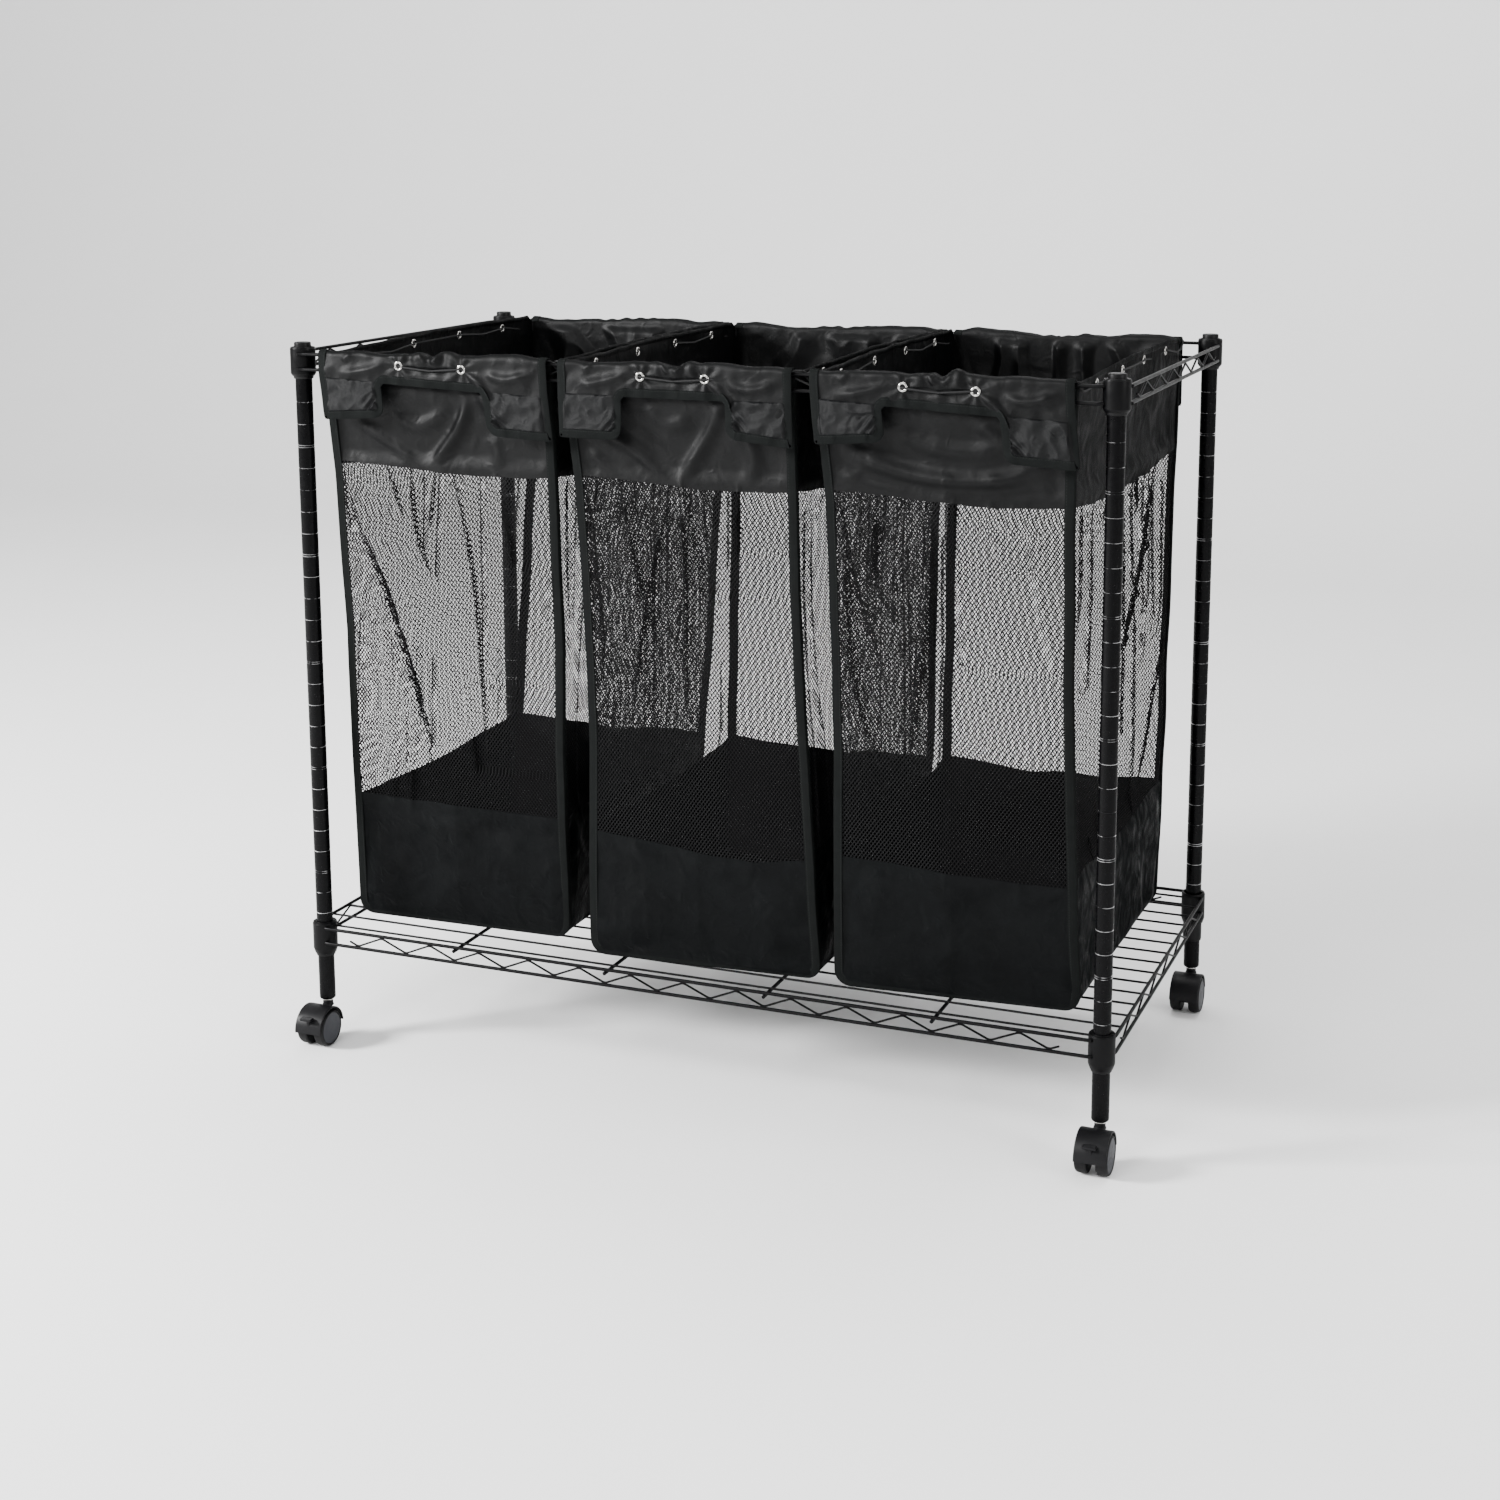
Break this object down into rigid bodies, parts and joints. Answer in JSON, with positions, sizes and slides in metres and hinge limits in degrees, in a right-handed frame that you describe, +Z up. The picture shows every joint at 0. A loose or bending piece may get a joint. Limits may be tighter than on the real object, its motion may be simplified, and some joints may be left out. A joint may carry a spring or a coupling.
{
  "type": "laundry cart",
  "caption": "Rolling laundry sorting cart: black wire frame on ringed posts with swivel casters, lower wire shelf, and tall open mesh and nylon bags hung side by side from the upper rails.",
  "frame": {"origin": "centre of the outer box at floor level", "axes": "+X to the right along the long side, +Y to the back, +Z up; the front faces -Y"},
  "size_m": [0.981, 0.5464, 0.8365],
  "materials": {
    "black_coat": "satin black powder coat",
    "black_plastic": "satin black plastic",
    "hood_plastic": "fine-grained black plastic",
    "wheel_plastic": "dark grey nylon wheel",
    "nickel": "bright nickel plate",
    "bag_cloth": "black coated nylon with mesh panels",
    "cord": "black braided cord"
  },
  "bodies": {
    "frame": {"post_fl": "black_coat", "post_fr": "black_coat", "post_bl": "black_coat", "post_br": "black_coat", "post_cap_fl": "black_plastic", "post_cap_fr": "black_plastic", "post_cap_bl": "black_plastic", "post_cap_br": "black_plastic", "upper_sleeve_fl": "black_plastic", "upper_sleeve_fr": "black_plastic", "upper_sleeve_bl": "black_plastic", "upper_sleeve_br": "black_plastic", "lower_sleeve_fl": "black_plastic", "lower_sleeve_fr": "black_plastic", "lower_sleeve_bl": "black_plastic", "lower_sleeve_br": "black_plastic", "upper_rail_front": "black_coat", "upper_rail_back": "black_coat", "upper_side_left": "black_coat", "upper_side_right": "black_coat", "shelf_rail_front": "black_coat", "shelf_rail_back": "black_coat", "shelf_side_left": "black_coat", "shelf_side_right": "black_coat", "shelf_deck": "black_coat", "caster_stem_fl": "nickel", "caster_stem_fr": "nickel", "caster_stem_bl": "nickel", "caster_stem_br": "nickel"},
    "swivel_fl": {"caster_hood_fl": "hood_plastic", "caster_axle_fl": "nickel"},
    "wheel_fl_l": {"caster_wheel_fl_l": "wheel_plastic"},
    "wheel_fl_r": {"caster_wheel_fl_r": "wheel_plastic"},
    "lever_fl": {"brake_lever_fl": "hood_plastic"},
    "swivel_fr": {"caster_hood_fr": "hood_plastic", "caster_axle_fr": "nickel"},
    "wheel_fr_l": {"caster_wheel_fr_l": "wheel_plastic"},
    "wheel_fr_r": {"caster_wheel_fr_r": "wheel_plastic"},
    "lever_fr": {"brake_lever_fr": "hood_plastic"},
    "swivel_bl": {"caster_hood_bl": "hood_plastic", "caster_axle_bl": "nickel"},
    "wheel_bl_l": {"caster_wheel_bl_l": "wheel_plastic"},
    "wheel_bl_r": {"caster_wheel_bl_r": "wheel_plastic"},
    "swivel_br": {"caster_hood_br": "hood_plastic", "caster_axle_br": "nickel"},
    "wheel_br_l": {"caster_wheel_br_l": "wheel_plastic"},
    "wheel_br_r": {"caster_wheel_br_r": "wheel_plastic"},
    "bag_left_body": {"bag_left": "bag_cloth", "drawcord_left": "cord"},
    "bag_middle_body": {"bag_middle": "bag_cloth", "drawcord_middle": "cord"},
    "bag_right_body": {"bag_right": "bag_cloth", "drawcord_right": "cord"}
  },
  "joints": [
    {"name": "caster_swivel_fl", "type": "hinge", "parent": "frame", "child": "swivel_fl", "pos_m": [-0.4725, -0.2232, 0.0475], "axis": [0, 0, 1], "continuous": true},
    {"name": "wheel_spin_fl_l", "type": "hinge", "parent": "swivel_fl", "child": "wheel_fl_l", "pos_m": [-0.4725, -0.2432, 0.0215], "axis": [1, 0, 0], "continuous": true},
    {"name": "wheel_spin_fl_r", "type": "hinge", "parent": "swivel_fl", "child": "wheel_fl_r", "pos_m": [-0.4725, -0.2432, 0.0215], "axis": [1, 0, 0], "continuous": true},
    {"name": "brake_lever_fl_press", "type": "hinge", "parent": "swivel_fl", "child": "lever_fl", "pos_m": [-0.4725, -0.2557, 0.0255], "axis": [1, 0, 0], "range_deg": [0, 18]},
    {"name": "caster_swivel_fr", "type": "hinge", "parent": "frame", "child": "swivel_fr", "pos_m": [0.4725, -0.2232, 0.0475], "axis": [0, 0, 1], "continuous": true},
    {"name": "wheel_spin_fr_l", "type": "hinge", "parent": "swivel_fr", "child": "wheel_fr_l", "pos_m": [0.4725, -0.2432, 0.0215], "axis": [1, 0, 0], "continuous": true},
    {"name": "wheel_spin_fr_r", "type": "hinge", "parent": "swivel_fr", "child": "wheel_fr_r", "pos_m": [0.4725, -0.2432, 0.0215], "axis": [1, 0, 0], "continuous": true},
    {"name": "brake_lever_fr_press", "type": "hinge", "parent": "swivel_fr", "child": "lever_fr", "pos_m": [0.4725, -0.2557, 0.0255], "axis": [1, 0, 0], "range_deg": [0, 18]},
    {"name": "caster_swivel_bl", "type": "hinge", "parent": "frame", "child": "swivel_bl", "pos_m": [-0.4725, 0.2498, 0.0475], "axis": [0, 0, 1], "continuous": true},
    {"name": "wheel_spin_bl_l", "type": "hinge", "parent": "swivel_bl", "child": "wheel_bl_l", "pos_m": [-0.4725, 0.2298, 0.0215], "axis": [1, 0, 0], "continuous": true},
    {"name": "wheel_spin_bl_r", "type": "hinge", "parent": "swivel_bl", "child": "wheel_bl_r", "pos_m": [-0.4725, 0.2298, 0.0215], "axis": [1, 0, 0], "continuous": true},
    {"name": "caster_swivel_br", "type": "hinge", "parent": "frame", "child": "swivel_br", "pos_m": [0.4725, 0.2498, 0.0475], "axis": [0, 0, 1], "continuous": true},
    {"name": "wheel_spin_br_l", "type": "hinge", "parent": "swivel_br", "child": "wheel_br_l", "pos_m": [0.4725, 0.2298, 0.0215], "axis": [1, 0, 0], "continuous": true},
    {"name": "wheel_spin_br_r", "type": "hinge", "parent": "swivel_br", "child": "wheel_br_r", "pos_m": [0.4725, 0.2298, 0.0215], "axis": [1, 0, 0], "continuous": true},
    {"name": "bag_left_lift", "type": "slide", "parent": "frame", "child": "bag_left_body", "axis": [0, 0, 1], "range_m": [0, 0.12]},
    {"name": "bag_middle_lift", "type": "slide", "parent": "frame", "child": "bag_middle_body", "axis": [0, 0, 1], "range_m": [0, 0.12]},
    {"name": "bag_right_lift", "type": "slide", "parent": "frame", "child": "bag_right_body", "axis": [0, 0, 1], "range_m": [0, 0.12]}
  ]
}
